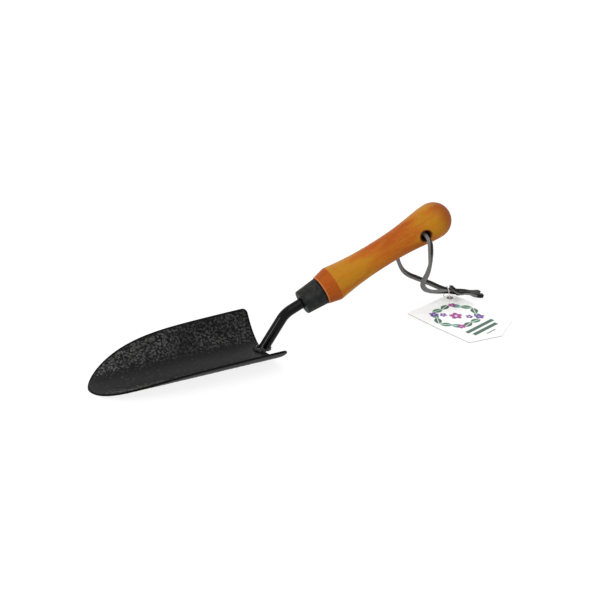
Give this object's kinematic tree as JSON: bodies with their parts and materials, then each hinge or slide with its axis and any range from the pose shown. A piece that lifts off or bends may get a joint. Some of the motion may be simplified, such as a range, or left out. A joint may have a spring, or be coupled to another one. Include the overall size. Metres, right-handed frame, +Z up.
{
  "type": "planting trowel",
  "caption": "planting trowel: coated steel scoop on a bent rod neck, ferrule, turned wooden handle, knotted leather hang cord and a turning swing tag",
  "frame": {"origin": "on the ground below the middle of the trowel's own bounding box (without the cord and what is on it), where the flat keel of the scoop rests", "axes": "+X runs along the trowel from the scoop's tip to the handle's end, +Z is up, and Y = 0 is the plane of symmetry of scoop, neck and handle"},
  "size_m": [0.3823, 0.1131, 0.1061],
  "materials": {
    "blade": "black hammered powder coat on pressed steel",
    "neck": "glossy black coat on a steel rod",
    "weld_bead": "weld metal under the same black coat",
    "ferrule": "matt very dark grey coat",
    "handle": "turned, stained and varnished orange brown",
    "hang_cord_front": "black leather lace with paler cut sides",
    "hang_cord_back": "black leather lace with paler cut sides",
    "tag_loop": "thin clear nylon",
    "tag": "smooth white printed card"
  },
  "bodies": {
    "trowel": {"blade": "blade", "neck": "neck", "weld_bead": "weld_bead", "ferrule": "ferrule", "handle": "handle", "hang_cord_front": "hang_cord_front", "hang_cord_back": "hang_cord_back", "tag_loop": "tag_loop"},
    "tag": {"tag": "tag"}
  },
  "joints": [
    {"name": "tag_swivel", "type": "hinge", "parent": "trowel", "child": "tag", "pos_m": [0.18301, 0.0121, 0.0012], "axis": [0.0039, -0.0122, 0.9999], "range_deg": [-30, 30]}
  ]
}
